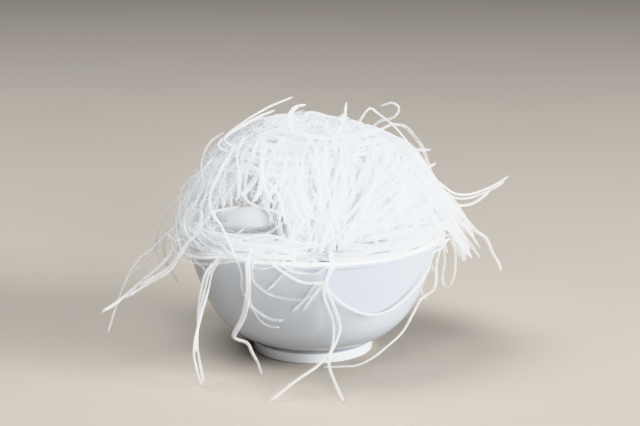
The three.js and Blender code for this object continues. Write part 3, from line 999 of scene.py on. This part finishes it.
def colour_setting(name, description, default):
    """A colour that a user may change."""
    return FloatVectorProperty(
        name=name, description=description, subtype="COLOR", size=3, min=0, max=1, default=default
    )


def share_setting(name, description, default):
    """A share from 0 to 1 that a user may change."""
    return FloatProperty(
        name=name, description=description, subtype="FACTOR", min=0, max=1, default=default
    )


def length_setting(name, description, default):
    """A length that a user may change."""
    return FloatProperty(name=name, description=description, unit="LENGTH", default=default)


def power_setting(name, default):
    """A lamp's power that a user may change."""
    return FloatProperty(name=name, description="Power in watts", default=default)


class RiceBowlSettings(bpy.types.PropertyGroup):
    """Sizes and colours of the bowl."""

    spin_steps: IntProperty(
        name="Spin steps", description="Faces round the bowl", default=128, min=24, max=256
    )
    # The outside's colour: the white glaze greyed as painted shade.
    glaze: colour_setting("Glaze", "Colour of the glaze", (0.51, 0.55, 0.605))
    # The white glaze, kept inside and on the lip, where it makes a painted highlight.
    glaze_inside: colour_setting(
        "Glaze inside", "Colour of the white glaze inside, and on the lip as a painted highlight", (0.95, 0.955, 0.96)
    )
    # Painted shade low down on the outside, and faint random mottle.
    glaze_mottle_and_painted_shade: colour_setting(
        "Mottled glaze in painted shade", "Colour of the glaze in faint mottle and in painted shade low down", (0.46, 0.48, 0.50)
    )


class VermicelliSettings(bpy.types.PropertyGroup):
    """Sizes, numbers and colours of the vermicelli."""

    diameter: length_setting("Strand", "Thickness of a strand", 1.5 * MM)
    loose_diameter: length_setting("Loose strand", "Thickness of a loose strand", 1.3 * MM)
    seed: IntProperty(name="Seed", description="Changes how the strands fall", default=4, min=0)
    strand: colour_setting("Strand colour", "Colour of a milky strand", (0.98, 0.985, 0.99))
    strand_cool: colour_setting(
        "Cool strand colour", "Colour of a bluish strand", (0.945, 0.968, 0.99)
    )
    # Greyer than a strand, as painted shade deep in the nest.
    packed: colour_setting("Packed colour", "Colour of the packed middle", (0.91, 0.92, 0.93))
    # Painted shade between the packed middle's ridges.
    packed_painted_shade: colour_setting(
        "Packed dark colour", "Colour of the packed middle between its strands", (0.82, 0.84, 0.86)
    )
    body: share_setting("Body", "How milky a strand is along its middle", 0.31)
    edge_body: share_setting("Edge body", "How milky a strand is at its edges", 0.36)
    glow: share_setting("Glow", "Share of the light that passes through the strand", 0.55)


class StageSettings(bpy.types.PropertyGroup):
    """Floor, lights and camera."""

    floor_size: length_setting("Floor", "Width of the floor", 8.0)
    floor_colour: colour_setting("Floor colour", "Colour of the floor", (0.49, 0.45, 0.40))
    front_power: power_setting("Front light", 20.0)
    snoot_power: power_setting("Snoot light", 47.0)
    right_power: power_setting("Right light", 59.0)
    top_left_power: power_setting("Top left light", 25.0)
    overhead_power: power_setting("Overhead light", 15.0)
    fill: FloatProperty(name="Fill", description="Strength of the light all round", default=0.04)


# ---- operators ----


class VERMICELLI_OT_bowl(bpy.types.Operator):
    """Spin the porcelain bowl from its outline"""

    bl_idname = "vermicelli.bowl"
    bl_label = "Rice bowl"

    # How much of the white glaze the foot keeps, as painted light.
    foot_painted_light = 0.55

    def execute(self, context):
        settings = context.scene.rice_bowl
        start_fresh()
        bpy.ops.mesh.primitive_plane_add(size=MM, location=(0, 0, 0))
        bowl = context.object
        bowl.name = bowl.data.name = "porcelain_bowl"
        bpy.ops.object.mode_set(mode="EDIT")
        bpy.ops.mesh.merge(type="CENTER")
        bpy.ops.transform.translate(value=(OUTLINE[0][0], 0, OUTLINE[0][1]))
        for radius, height in np.diff(OUTLINE, axis=0):
            move = (float(radius), 0, float(height))
            bpy.ops.mesh.extrude_region_move(TRANSFORM_OT_translate={"value": move})
        bpy.ops.mesh.select_all(action="SELECT")
        bpy.ops.mesh.spin(steps=settings.spin_steps, angle=FULL_TURN, center=(0, 0, 0), axis=(0, 0, 1))
        bpy.ops.mesh.select_all(action="SELECT")
        bpy.ops.mesh.remove_doubles(threshold=1e-6)
        bpy.ops.mesh.dissolve_degenerate(threshold=1e-7)
        bpy.ops.mesh.normals_make_consistent(inside=False)
        bpy.ops.object.mode_set(mode="OBJECT")
        bpy.ops.object.transform_apply()
        bpy.ops.object.shade_smooth_by_angle(angle=math.radians(40))
        self.write_painted_light_share(bowl.data)
        dress(bowl, porcelain(settings), "bowl_glaze", "bowl")
        return {"FINISHED"}

    def write_painted_light_share(self, mesh):
        """Writes where the glaze is painted lit or shaded: 1 on the lip, as a painted highlight, and
        inside, less on the foot, as painted light, and 0 outside, where the greyer glaze is painted shade.
        """
        places = np.empty(len(mesh.vertices) * 3)
        mesh.vertices.foreach_get("co", places)
        x, y, height = places.reshape(-1, 3).T
        outer = smooth(OUTSIDE)
        depth = np.interp(height, outer[:, 1], outer[:, 0]) - np.hypot(x, y)
        within = (depth > WALL / 2) & (height > FLOOR - 0.1 * MM)
        # 1 inside and on top of the lip, a painted highlight there; 0 outside, painted shade; the foot
        # gets some painted light.
        white = ((height > BOWL_HEIGHT - 0.7 * LIP) | within).astype(float)
        white[height < FOOT_HEIGHT - 0.3 * MM] = self.foot_painted_light
        layer = mesh.attributes.new("inner", "FLOAT", "POINT")
        layer.data.foreach_set("value", white)


class VERMICELLI_OT_core(bpy.types.Operator):
    """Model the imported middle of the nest, ring by ring"""

    bl_idname = "vermicelli.core"
    bl_label = "Packed core"

    # Height and radius of each ring, in millimetres.
    rings = [
        (11, 15), (16, 26), (24, 35), (34, 42), (46, 46), (57, 49.5), (66, 50),
        (76, 47.5), (84, 43.5), (91, 37.5), (96, 30), (99.5, 20), (101, 10),
    ]
    # A block cuts the hollow out of it: its right side, its height at the front, how far it leans
    # to the back and from where, how round its edges are, and its size.
    cut_side = -12.0 * MM
    cut_height = 85.0 * MM
    cut_lean = math.radians(-13.5)
    cut_front = -50 * MM
    cut_round = 8.0 * MM
    cut_size = (90 * MM, 160 * MM, 120 * MM)
    # Left of this leaning plane the nest is too loose to have a core.
    left_place = (-20 * MM, 0, 84 * MM)
    left_way = (-1.0, 0, 0.3)
    # The humps and hollows of its surface.
    lump_size = 0.018
    lump_height = 7 * MM

    def execute(self, context):
        settings = context.scene.vermicelli
        start_fresh()
        height, radius = self.rings[0]
        bpy.ops.mesh.primitive_circle_add(
            vertices=48, radius=radius * MM, fill_type="NGON", location=(0, 0, height * MM)
        )
        core = context.object
        core.name = core.data.name = "packed_core"
        bpy.ops.object.transform_apply()
        bpy.ops.object.mode_set(mode="EDIT")
        bpy.ops.mesh.select_all(action="SELECT")
        for before, after in zip(self.rings, self.rings[1:]):
            move = (0, 0, (after[0] - before[0]) * MM)
            bpy.ops.mesh.extrude_region_move(TRANSFORM_OT_translate={"value": move})
            grow = after[1] / before[1]
            bpy.ops.transform.resize(value=(grow, grow, 1), center_override=(0, 0, after[0] * MM))
        bpy.ops.mesh.select_all(action="SELECT")
        bpy.ops.mesh.bisect(
            plane_co=self.left_place, plane_no=self.left_way, use_fill=True, clear_outer=True
        )
        bpy.ops.mesh.select_all(action="SELECT")
        bpy.ops.mesh.normals_make_consistent(inside=False)
        bpy.ops.object.mode_set(mode="OBJECT")
        cutter = self.cutting_block(context)
        start_fresh()
        core.select_set(True)
        context.view_layer.objects.active = core
        shape_by(core, "BOOLEAN", operation="DIFFERENCE", object=cutter)
        bpy.data.objects.remove(cutter)
        shape_by(core, "REMESH", mode="VOXEL", voxel_size=2.4 * MM)
        shape_by(core, "SMOOTH", iterations=8)
        lumps = bpy.data.textures.new("lumps", "CLOUDS")
        lumps.noise_scale = self.lump_size
        shape_by(core, "DISPLACE", texture=lumps, texture_coords="LOCAL", strength=self.lump_height)
        bpy.ops.object.shade_smooth()
        dress(core, packed_rice(settings), "dried_rice", "vermicelli")
        return {"FINISHED"}

    def cutting_block(self, context):
        """A block with rounded edges over the loose left side, from below the bowl to its height."""
        place = (self.cut_side - self.cut_size[0] / 2, 0, self.cut_height - self.cut_size[2] / 2)
        bpy.ops.mesh.primitive_cube_add(size=1, location=place, scale=self.cut_size)
        block = context.object
        bpy.ops.object.transform_apply()
        hinge = (0, self.cut_front, self.cut_height)
        bpy.ops.transform.rotate(value=self.cut_lean, orient_axis="X", center_override=hinge)
        bpy.ops.object.transform_apply()
        shape_by(block, "BEVEL", width=self.cut_round, segments=5)
        return block


class VERMICELLI_OT_tangle(bpy.types.Operator):
    """Fill the nest with wandering strands"""

    bl_idname = "vermicelli.tangle"
    bl_label = "Inner tangle"

    # How many strands, the middle they wander round and how far from it they start, and the lowest
    # they go, in millimetres.
    packed = (70, (18, 0, 72), (34, 44, 34), 45)
    loose = (20, (-34, 4, 88), (22, 40, 18), 70)
    flank = (36, (-14, -6, 62), (6, 40, 22), 40)
    in_bowl = (30, (-6, 0, 34), (30, 36, 16), 12)

    def execute(self, context):
        settings = context.scene.vermicelli
        batch = StrandBatch(settings.seed, settings.diameter)
        for count, middle, spread, lowest in (self.packed, self.loose, self.flank, self.in_bowl):
            middle, spread = np.array(middle) * MM, np.array(spread) * MM
            made = 0
            while made < count:
                route = short_of_hollow(tangle_route(batch.random, middle, spread, lowest * MM))
                if route is not None:
                    batch.add(route, waves=0.8 * MM, sides=5)
                    made += 1
        batch.build("tangled_strands", dried_rice("dried_rice_inside", settings))
        return {"FINISHED"}


class VERMICELLI_OT_nest(bpy.types.Operator):
    """Lay strands round the crown, down the sides and up from the front"""

    bl_idname = "vermicelli.nest"
    bl_label = "Nest strands"

    layer = 4.0 * MM
    # For each piece its kinds of route, each with how many strands, how wavy they are in
    # millimetres, and how much fewer they get at the loose side. Some lie a layer deeper.
    plan = {
        "crown_strands": [
            (crown_route, 150, 0.6, 0.25),
            (partial(crown_route, depth=layer), 40, 0.6, 1.0),
        ],
        "falling_strands": [
            (falling_route, 230, 1.1, 0.85),
            (partial(falling_route, depth=layer), 60, 1.1, 1.0),
        ],
        "fanned_strands": [
            (fan_route, 150, 1.0, 0.5),
            (partial(fan_route, depth=layer), 40, 1.0, 1.0),
        ],
        "curled_strands": [(curl_route, 36, 0.4, 0.2)],
    }

    def execute(self, context):
        settings = context.scene.vermicelli
        material = dried_rice("dried_rice_strands", settings)
        for number, (name, kinds) in enumerate(self.plan.items()):
            batch = StrandBatch(settings.seed + 10 + number, settings.diameter)
            for kind in kinds:
                lay_strands(batch, *kind)
            if name == "curled_strands":
                for points in LAID.values():
                    batch.add(np.array(points) * MM, waves=0.25 * MM)
            batch.build(name, material)
        return {"FINISHED"}


class VERMICELLI_OT_fringe(bpy.types.Operator):
    """Drape strands along the rim, loop them at the left and spray them at the right"""

    bl_idname = "vermicelli.fringe"
    bl_label = "Rim strands"

    # The kinds of route, each with how many strands and how wavy they are in millimetres.
    plan = [
        (rim_route, 90, 0.7),
        (inside_rim_route, 70, 0.7),
        (lip_route, 140, 0.4),
        (veil_route, 56, 1.2),
        (partial(veil_route, depth=8.0 * MM), 20, 1.2),
        (back_rim_route, 36, 0.7),
        (hoop_route, 34, 1.0),
        (spray_route, 36, 0.6),
    ]

    def execute(self, context):
        settings = context.scene.vermicelli
        batch = StrandBatch(settings.seed + 2, settings.diameter)
        for kind in self.plan:
            lay_strands(batch, *kind)
        batch.build("rim_strands", dried_rice("dried_rice_rim", settings))
        return {"FINISHED"}


class VERMICELLI_OT_loose(bpy.types.Operator):
    """Hang the loose strands over the rim"""

    bl_idname = "vermicelli.loose"
    bl_label = "Loose strands"

    sides = 8
    step = 2 * MM
    thickness = 1.6  # how much milkier a loose strand is than one in the nest

    def execute(self, context):
        settings = context.scene.vermicelli
        batch = StrandBatch(settings.seed + 3, settings.loose_diameter)
        fine = {"sides": self.sides, "step": self.step}
        for name, points in LOOSE.items():
            route = np.array(points if name in BRANCHES else rooted(points)) * MM
            strands, apart, *turns = BUNDLED.get(name, (1, 0, 0, 0))
            batch.add(route, stuck=strands, apart=apart, turns=turns, **fine)
        for row in HANGING:
            batch.add(np.array(rooted(hanging(*row))) * MM, waves=0.5 * MM, **fine)
        batch.build("loose_strands", dried_rice("dried_rice_loose", settings, self.thickness))
        return {"FINISHED"}


class VERMICELLI_OT_stage(bpy.types.Operator):
    """Set the floor, the lights and the camera"""

    bl_idname = "vermicelli.stage"
    bl_label = "Stage"

    # Name, place, width and colour of each soft light, in metres.
    soft_lights = (
        ("front", (0.85, -2.05, 0.6), 0.8, (0.99, 0.995, 1.0)),
        ("right", (1.8, -0.7, 0.65), 1.2, (1.0, 0.995, 0.99)),
        ("top_left", (-0.8, 0.15, 1.75), 1.2, (0.98, 0.99, 1.0)),
        ("overhead", (-0.1, -0.9, 1.9), 1.2, (0.98, 0.99, 1.0)),
    )
    lit_place = (0, 0, 0.06)
    # A narrow light from the front reaches the back of the hollow.
    snoot_place = (0.035, -1.17, 0.33)
    snoot_target = (-0.024, 0.0, 0.063)
    snoot_angle = math.radians(4.0)
    snoot_radius = 0.03
    camera_place = (0, -0.772, 0.2498)
    camera_target = (0.00345, 0.0062, 0.0628)
    camera_lens = 96.4
    sky = (0.93, 0.96, 1.0, 1.0)

    def execute(self, context):
        settings = context.scene.vermicelli_stage
        start_fresh()
        bpy.ops.mesh.primitive_plane_add(size=settings.floor_size, location=(0, 0, 0))
        floor = context.object
        floor.name = floor.data.name = "floor"
        floor.data.materials.append(matt_paper(settings))
        self.add_lights(settings)
        world = bpy.data.worlds.new("studio")
        world.use_nodes = True
        background = world.node_tree.nodes["Background"]
        background.inputs["Color"].default_value = self.sky
        background.inputs["Strength"].default_value = settings.fill
        context.scene.world = world
        context.scene.view_settings.view_transform = "Khronos PBR Neutral"
        if hasattr(context.scene, "cycles"):
            context.scene.cycles.max_bounces = 16
            context.scene.cycles.diffuse_bounces = 12
            context.scene.cycles.transparent_max_bounces = 64
        camera = bpy.data.cameras.new("camera")
        camera.lens = self.camera_lens
        camera.clip_start = 0.01
        context.scene.camera = self.aimed(camera, self.camera_place, self.camera_target)
        return {"FINISHED"}

    def add_lights(self, settings):
        """The soft lights and the narrow one."""
        for name, place, width, colour in self.soft_lights:
            light = bpy.data.lights.new(name, "AREA")
            light.shape = "DISK"
            light.size = width
            light.energy = getattr(settings, name + "_power")
            light.color = colour
            self.aimed(light, place, self.lit_place)
        snoot = bpy.data.lights.new("snoot", "SPOT")
        snoot.energy = settings.snoot_power
        snoot.spot_size = self.snoot_angle
        snoot.spot_blend = 1.0
        snoot.shadow_soft_size = self.snoot_radius
        self.aimed(snoot, self.snoot_place, self.snoot_target)

    @staticmethod
    def aimed(data, place, target):
        """A light's or the camera's object at its place, turned to its target."""
        made = bpy.data.objects.new(data.name, data)
        made.location = place
        made.rotation_euler = (Vector(target) - Vector(place)).to_track_quat("-Z", "Y").to_euler()
        bpy.context.collection.objects.link(made)
        return made


class VERMICELLI_PT_panel(bpy.types.Panel):
    """Lists the pieces of the bowl of vermicelli"""

    bl_idname = "VERMICELLI_PT_panel"
    bl_label = "Bowl of vermicelli"
    bl_space_type = "VIEW_3D"
    bl_region_type = "UI"
    bl_category = "Vermicelli"

    def draw(self, context):
        column = self.layout.column()
        for group in SETTINGS:
            settings = getattr(context.scene, group)
            for name in settings.__annotations__:
                column.prop(settings, name)
        for operator in OPERATORS:
            column.operator(operator.bl_idname)


OPERATORS = (
    VERMICELLI_OT_bowl,
    VERMICELLI_OT_core,
    VERMICELLI_OT_tangle,
    VERMICELLI_OT_nest,
    VERMICELLI_OT_fringe,
    VERMICELLI_OT_loose,
    VERMICELLI_OT_stage,
)
SETTINGS = {
    "rice_bowl": RiceBowlSettings,
    "vermicelli": VermicelliSettings,
    "vermicelli_stage": StageSettings,
}


def register():
    for cls in (*SETTINGS.values(), *OPERATORS, VERMICELLI_PT_panel):
        bpy.utils.register_class(cls)
    for group, cls in SETTINGS.items():
        setattr(bpy.types.Scene, group, PointerProperty(type=cls))


def unregister():
    for group in SETTINGS:
        delattr(bpy.types.Scene, group)
    for cls in reversed((*SETTINGS.values(), *OPERATORS, VERMICELLI_PT_panel)):
        bpy.utils.unregister_class(cls)


def main():
    register()
    bpy.ops.vermicelli.bowl()
    bpy.ops.vermicelli.core()
    bpy.ops.vermicelli.tangle()
    bpy.ops.vermicelli.nest()
    bpy.ops.vermicelli.fringe()
    bpy.ops.vermicelli.loose()
    bpy.ops.vermicelli.stage()


if __name__ == "__main__":
    main()
